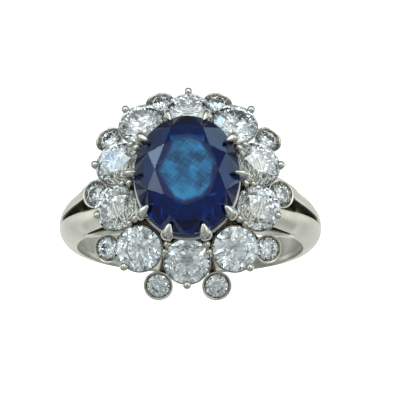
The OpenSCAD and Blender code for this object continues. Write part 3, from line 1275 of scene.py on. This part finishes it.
@dataclass
class SmallSettings(Part):
    """The ten rub-over bezels of the small diamonds, and the spokes that carry them."""

    bezel: tuple = (
        (0.74, -0.90),
        (0.92, -0.46),
        (1.085, -0.08),
        (1.10, -0.03),
        (1.085, 0.0),
        (1.03, 0.0),
        (0.975, -0.02),
        (0.90, -0.065),
        (0.835, -0.075),
        (0.84, -0.095),
        (0.87, -0.12),
        (0.87, -0.18),
        (0.80, -0.26),
        (0.36, -0.66),
        (0.34, -0.90),
    )
    bezel_sides: int = 56
    bezel_ease: float = 0.012
    # Dirt with painted shade lies inside this reach and above this height, and darker dirt with painted shade
    # inside the reach below
    rim: float = 0.965
    rim_foot: float = -0.89
    seat_r: float = 0.84
    grime_and_shade_wall: Wall = Wall(top=-0.12, foot=-0.9, reach=0.7, flare=0.4)
    cup_drop: float = 0.55
    cup_in: float = 0.592
    spoke: float = 0.21
    outer_spoke: float = 0.35
    spoke_bow: float = 0.02

    def build(self) -> None:
        """Builds one bezel, copies it to the ten seats and draws a spoke to each."""
        s = self.sizes
        pattern = turned("bezel", self.bezel, self.bezel_sides)
        eased(pattern, self.bezel_ease, 2)
        metal = self.finishes
        coat(pattern, metal.polished, metal.rubbed_rim_and_shade, metal.dark_dirt_and_shade, metal.grime_and_painted_shade)
        # The recess inside the rim, the seat and the lower outer wall are darkened: dirt with painted shade
        darken(pattern, lambda p: hypot(p.x, p.y) < self.rim and p.z > self.rim_foot)
        darken(pattern, lambda p: hypot(p.x, p.y) < self.seat_r, 2)
        darken(pattern, self.grime_and_shade_wall.has, 3)
        for k in range(STONES):
            dress(copied(pattern, f"bezel_{k + 1:02d}", s.small_seat(k)))
            self.build_spoke(k)
        discard(pattern)

    def build_spoke(self, k: int) -> None:
        """Draws a small diamond's spoke from the basket's foot over the gallery wire to its bezel.

        Args:
            k: The small diamond.
        """
        s = self.sizes
        at, tilt = s.small_at[k], radians(s.small_tilt)
        x0, z0 = s.outline(at) - s.foot_in, s.girdle - s.foot_drop
        x1, z1 = s.gallery_r, s.gallery_z
        x2 = s.small_reach[k % len(s.small_reach)] - self.cup_drop * sin(tilt) - self.cup_in
        z2 = s.small_z - self.cup_drop * cos(tilt)
        stations = [
            (x0, z0, self.spoke),
            ((x0 + x1) / 2, (z0 + z1) / 2, self.spoke),
            (x1, z1, self.outer_spoke),
            ((x1 + x2) / 2, (z1 + z2) / 2 + self.spoke_bow, self.outer_spoke),
            (x2, z2, self.outer_spoke),
        ]
        obj = subdivided(drawn(f"spoke_{k + 1:02d}", stations))
        obj.data.transform(Matrix.Rotation(radians(at), 4, "Z"))
        # The spoke under the gallery is near-black: dirt with painted shade
        dress(obj, self.finishes.dark_dirt_and_shade)


@dataclass
class TallClaws(Part):
    """The ten claws of the sapphire. Each is filed to a drop with its point on the crown."""

    # Reach outside the sapphire's outline, height above its girdle and half width of each section
    stations: tuple = (
        (-0.82, -3.40, 0.24),
        (-0.25, -1.60, 0.27),
        (0.15, -0.80, 0.30),
        (0.40, -0.40, 0.36),
        (0.52, -0.10, 0.43),
        (0.54, 0.15, 0.48),
        (0.43, 0.37, 0.49),
        (0.24, 0.50, 0.45),
        (0.05, 0.60, 0.36),
        (-0.12, 0.69, 0.26),
        (-0.26, 0.76, 0.16),
        (-0.34, 0.80, 0.08),
    )
    flat: float = 0.62
    # How far each has been bent round the stone in degrees, its width and how far it stands off, in the
    # bezels' order
    turns: tuple = (0.0, 4.0, 0.0, -7.0, 0.0, 0.0, 7.0, 0.0, -4.0, 0.0)
    widths: tuple = (0.62, 0.8, 0.7, 0.9, 1.0, 1.0, 0.9, 0.62, 0.8, 0.62)
    off: tuple = (0.0, 0.0, 0.0, 0.0, 0.0, 0.0, 0.0, 0.2, 0.0, 0.0)

    def build(self) -> None:
        """Draws one claw and copies it round the sapphire."""
        s = self.sizes
        thin = [(x, z, r * self.flat) for x, z, r in self.stations]
        pattern = subdivided(drawn("claw", thin, widen=1 / self.flat))
        for k in range(STONES):
            at = s.small_at[k] + self.turns[k]
            out = Matrix.Translation((s.outline(at) + self.off[k], 0, s.girdle))
            slim = Matrix.Diagonal((1, self.widths[k], 1, 1))
            place = Matrix.Rotation(radians(at), 4, "Z") @ out @ slim
            dress(copied(pattern, f"tall_claw_{k + 1:02d}", place), self.finishes.polished)
        discard(pattern)


@dataclass
class Stones(Part):
    """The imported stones, which keep their own flat facets and get their finishes here, and the silk."""

    cloud: tuple = (3.15, 3.65, 0.12)
    cloud_up: float = 0.6

    def build(self) -> None:
        """Gives the sapphire and the twenty diamonds their materials."""
        for name, node in frame["nodes"].items():
            if name == "mount":
                continue
            node.data.materials.clear()
            coat(node, self.finishes.sapphire if name == "sapphire" else self.finishes.diamond)
            log.info("%s: finished", name)
        self.silk_and_glow_cloud()

    def silk_and_glow_cloud(self) -> None:
        """Shapes the cloud of silk, which glows as painted light, under the sapphire's table as a thin lens.
        """
        middle = (0, 0, self.sizes.girdle + self.cloud_up)
        ball = {"segments": 40, "ring_count": 16, "radius": 1, "location": middle}
        obj = started("silk_and_glow_cloud", bpy.ops.mesh.primitive_uv_sphere_add, **ball)
        with editing(obj):
            pick_all()
            scale(self.cloud, middle)
        only(obj)
        bpy.ops.object.shade_smooth()
        obj.data.transform(RING)
        coat(obj, self.finishes.silk_and_glow)
        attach(obj, BODY)


@dataclass(frozen=True)
class Softbox:
    """A round soft light of the studio, placed as the photographer sees it from the camera.

    Attributes:
        clock: Where it stands round the view, in degrees from the right, up being 90.
        off: Its angle from the camera's own direction, so that 0 is at the camera and 180 behind the ring.
        size: Half of the angle that it covers.
        radiance: How bright it is.
        soft: Width of its soft edge, in degrees.
    """

    clock: float
    off: float
    size: float
    radiance: float
    soft: float = 3.0


@dataclass
class Studio:
    """A pale table that sweeps up behind the ring, white paper behind it and soft lights round it."""

    view: Matrix
    table_colour: str = "#f4f4f2"
    table_glow: float = 0.75
    table_roughness: float = 0.7
    width_mm: float = 1400.0
    front_mm: float = -700.0
    back_mm: float = 900.0
    height_mm: float = 300.0
    bend_mm: float = 200.0
    bend_steps: int = 8
    # Windows, mirrored by the facets that are bright in the photograph
    windows: tuple = (
        Softbox(138, 71, 8, 3.4),
        Softbox(166, 53, 7, 0.9),
        Softbox(18, 87, 9, 1.1),
        Softbox(53, 102, 9, 1.4),
        Softbox(129, 104, 8, 0.35),
        Softbox(41, 111, 7, 0.6),
        Softbox(162, 91, 7, 0.5),
        Softbox(142, 114, 7, 0.35),
        Softbox(24, 103, 6, 0.4),
        Softbox(-125, 48, 6, 0.8),
        Softbox(-55, 48, 6, 0.6),
    )
    softboxes: tuple = (
        Softbox(60, 45, 9, 2.0),
        Softbox(135, 45, 9, 2.0),
        Softbox(90, 54, 9, 2.0),
        Softbox(91, 72, 5, 1.3),
        Softbox(50, 57, 6, 1.6),
        Softbox(27, 40, 7, 1.4),
        Softbox(2, 70, 9, 1.4),
        Softbox(-90, 84, 12, 0.4),
        Softbox(-40, 92, 12, 0.35),
        Softbox(-140, 92, 12, 0.35),
        Softbox(180, 104, 20, 0.8, 8),
        Softbox(0, 104, 20, 0.8, 8),
    )
    # Black cards in front of the tent, where the facets that are dark in the photograph look
    cards: tuple = (
        Softbox(94, 33, 7, 0.75),
        Softbox(45, 69, 6, 1.0),
        Softbox(75, 78, 6, 1.0),
        Softbox(108, 79, 6, 1.0),
        Softbox(-160, 64, 7, 1.0),
        Softbox(-154, 25, 6, 1.0),
        Softbox(-92, 42, 7, 1.0),
        Softbox(-30, 21, 6, 1.0),
        Softbox(-21, 61, 7, 1.0),
        Softbox(15, 49, 6, 1.0),
        Softbox(-110, 60, 6, 1.0),
        Softbox(-72, 59, 6, 1.0),
        Softbox(-39, 69, 6, 1.0),
        Softbox(-142, 72, 6, 1.0),
        Softbox(163, 90, 6, 0.7),
        Softbox(176, 100, 5, 0.8),
        Softbox(158, 110, 5, 0.8),
        Softbox(-165, 86, 6, 0.75),
        Softbox(-172, 92, 5, 0.7),
        Softbox(0, 91, 6, 0.7),
        Softbox(5, 96, 5, 0.8),
        Softbox(-15, 83, 6, 1.0),
        Softbox(90, 0, 12, 0.6, 8),
        Softbox(22, 107, 7, 0.6),
        Softbox(42, 114, 9, 0.6),
        Softbox(64, 119, 9, 1.0),
        Softbox(90, 121, 9, 1.0),
        Softbox(116, 119, 9, 1.0),
        Softbox(138, 115, 9, 1.0),
    )
    # Folds in the tent's cloth: how fine they are, where the noise turns from shade to light, and how dark
    # and light they are
    folds: float = 4.5
    fold_range: tuple = (0.38, 0.62)
    fold_light: tuple = (0.35, 1.45)
    tent: str = "#f1f6f5"
    daylight: str = "#b4d8f6"
    # The tent is lit from low to high between these heights, and ends between these angles from the camera
    tent_rise: tuple = (-0.8, 0.8)
    tent_light: tuple = (0.33, 1.1)
    tent_edge: tuple = (86.0, 70.0)
    paper_strength: float = 0.92
    paper_edge: tuple = (108.0, 120.0)
    room: str = "#cfdae0"
    room_strength: float = 0.2

    def build(self) -> None:
        """Builds the table and the world."""
        self.table()
        self.world()

    def table(self) -> Object:
        """Extrudes a strip into a table with a bend and a wall behind.

        Returns:
            The sweep.
        """
        middle = (0, (self.back_mm + self.front_mm) / 2 * MM, 0)
        obj = started("table", bpy.ops.mesh.primitive_plane_add, size=1, location=middle)
        with editing(obj):
            pick_all()
            scale((self.width_mm * MM, (self.back_mm - self.front_mm) * MM, 1), middle)
            pick(Pick.EDGES, lambda p: p.y > (self.back_mm - 0.1) * MM)
            bend = self.bend_mm * MM
            for k in range(self.bend_steps):
                a, b = pi / 2 * k / self.bend_steps, pi / 2 * (k + 1) / self.bend_steps
                extrude((0, (sin(b) - sin(a)) * bend, (cos(a) - cos(b)) * bend))
            extrude((0, 0, self.height_mm * MM))
        only(obj)
        bpy.ops.object.shade_smooth()
        material, tree, out = blank_material("painted_table")
        paint = linear(self.table_colour)
        shader = add_node(
            tree,
            "BsdfPrincipled",
            Base_Color=paint,
            Roughness=self.table_roughness,
            Emission_Color=paint,
            Emission_Strength=self.table_glow,
        )
        tree.links.new(shader.outputs[0], out.inputs["Surface"])
        coat(obj, material)
        obj.visible_glossy = False
        obj.visible_transmission = False
        obj.visible_shadow = False
        return obj

    def spot(self, tree: NodeTree, way: NodeSocket, box: Softbox) -> NodeSocket:
        """Adds one round patch of the studio.

        Args:
            tree: The world's node tree.
            way: The direction that a ray leaves in.
            box: The patch.

        Returns:
            Its radiance inside the patch and nothing outside.
        """
        clock, off = radians(box.clock), radians(box.off)
        seen = Vector((sin(off) * cos(clock), sin(off) * sin(clock), cos(off)))
        near = self.toward(tree, way, seen)
        start, end = (cos(radians(box.size + side * box.soft / 2)) for side in (1, -1))
        limits = {"From_Min": start, "From_Max": end, "To_Max": box.radiance}
        return add_node(tree, "MapRange", SOFT_STEP, Value=near, **limits).outputs["Result"]

    def toward(self, tree: NodeTree, way: NodeSocket, seen: Vector) -> NodeSocket:
        """How nearly a ray goes towards a direction that is given as the camera sees it."""
        return add_node(tree, "VectorMath", DOT, _0=way, _1=self.view.to_3x3() @ seen).outputs["Value"]

    def light(self, tree: NodeTree, way: NodeSocket, boxes: Sequence[Softbox]) -> NodeSocket:
        """Adds several patches up.

        Args:
            tree: The world's node tree.
            way: The direction that a ray leaves in.
            boxes: The patches.

        Returns:
            Their radiance together.
        """
        total = 0.0
        for box in boxes:
            total = add_node(tree, "Math", ADD, _0=total, _1=self.spot(tree, way, box)).outputs[0]
        return total

    def world(self) -> None:
        """Lights the ring: a dim room, a tent with black cards, white paper, softboxes and windows."""
        world = bpy.data.worlds.new("studio")
        world.use_nodes = True
        tree = world.node_tree
        tree.nodes.clear()
        way = add_node(tree, "TexCoord").outputs["Generated"]
        facing = self.toward(tree, way, Vector((0, 0, 1)))
        rise = self.toward(tree, way, Vector((0, 1, 0)))
        cloth = add_node(tree, "TexNoise", Vector=way, Scale=self.folds, Detail=1.0).outputs["Fac"]
        tent_edge = [cos(radians(a)) for a in self.tent_edge]
        paper_edge = [cos(radians(a)) for a in self.paper_edge]
        steps = []
        for value, (start, end), (low, high) in (
            (facing, tent_edge, (0.0, 1.0)),
            (rise, self.tent_rise, self.tent_light),
            (cloth, self.fold_range, self.fold_light),
            (facing, paper_edge, (0.0, self.paper_strength)),
        ):
            limits = {"From_Min": start, "From_Max": end, "To_Min": low, "To_Max": high}
            steps.append(add_node(tree, "MapRange", SOFT_STEP, Value=value, **limits).outputs["Result"])
        shape, height, uneven, paper = steps
        tent = add_node(tree, "Math", MULTIPLY, _0=shape, _1=height).outputs[0]
        tent = add_node(tree, "Math", MULTIPLY, _0=tent, _1=uneven).outputs[0]
        lamps = self.light(tree, way, self.softboxes)
        for source in (tent, paper):
            lamps = add_node(tree, "Math", ADD, _0=lamps, _1=source).outputs[0]
        for card in self.cards:
            open_part = add_node(tree, "Math", SUBTRACT, _0=1.0, _1=self.spot(tree, way, card))
            lamps = add_node(tree, "Math", MULTIPLY, _0=lamps, _1=open_part.outputs[0]).outputs[0]
        windows = self.light(tree, way, self.windows)
        total = None
        sources = ((self.room, self.room_strength), (self.tent, lamps), (self.daylight, windows))
        for colour, strength in sources:
            glow = add_node(tree, "Background", None, Color=linear(colour), Strength=strength).outputs[0]
            total = add_node(tree, "AddShader", None, _0=total, _1=glow).outputs[0] if total else glow
        out = tree.nodes.new("ShaderNodeOutputWorld")
        tree.links.new(total, out.inputs["Surface"])
        bpy.context.scene.world = world


@dataclass
class PhotoCamera:
    """The camera at the photograph's angle, a little below the head's axis and just above the table."""

    below_axis: float = 16.3
    yaw: float = 0.94
    roll: float = 0.35
    distance_mm: float = 300.0
    lens: float = 349.7
    sensor_mm: float = 36.0
    clip_start: float = 0.01
    photo_px: float = 400.0
    px_per_mm: float = 12.95
    centre_px: tuple = (190.4, 228.3)

    def place(self) -> Matrix:
        """Works out where the camera stands.

        Returns:
            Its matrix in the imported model's frame, X right, Y up and Z back.
        """
        b, y = radians(self.below_axis), radians(self.yaw)
        turn = RING.to_3x3().normalized()
        back = (turn @ Vector((sin(y), -sin(b) * cos(y), cos(b) * cos(y)))).normalized()
        right = (turn @ Vector((0, 1, 0))).cross(back).normalized()
        roll = Matrix.Rotation(radians(self.roll), 3, back)
        right, up = roll @ right, roll @ back.cross(right)
        dx, dy = self.photo_px / 2 - self.centre_px[0], self.centre_px[1] - self.photo_px / 2
        aim = RING.translation + (right * dx + up * dy) * MM / self.px_per_mm
        stand = Matrix.Translation(aim + back * self.distance_mm * MM)
        return stand @ Matrix((right, up, back)).transposed().to_4x4()

    def build(self) -> None:
        """Places the camera and makes it the scene's."""
        data = bpy.data.cameras.new("photo_camera")
        data.lens = self.lens
        data.sensor_width = self.sensor_mm
        data.clip_start = self.clip_start
        camera = bpy.data.objects.new("photo_camera", data)
        camera.matrix_world = self.place()
        bpy.context.scene.collection.objects.link(camera)
        bpy.context.scene.camera = camera


def grade() -> None:
    """Sets how the light becomes a picture, and how often it may pass through the stones."""
    scene = bpy.context.scene
    scene.view_settings.view_transform = "Standard"
    scene.view_settings.look = "None"
    scene.cycles.max_bounces = STONE_BOUNCES
    scene.cycles.transmission_bounces = STONE_BOUNCES
    scene.cycles.glossy_bounces = METAL_BOUNCES
    scene.cycles.use_denoising = True


def main() -> None:
    """Builds the ring in order, then the studio and the camera."""
    logging.basicConfig(level=logging.INFO, format="%(name)s: %(message)s")
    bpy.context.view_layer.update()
    finishes = Finishes()
    for part in (Shank, Basket, LargeSettings, NotchBeads, SmallSettings, TallClaws, Stones):
        part(finishes).build()
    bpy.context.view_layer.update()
    camera = PhotoCamera()
    camera.build()
    Studio(camera.place()).build()
    grade()


if __name__ == "__main__":
    main()
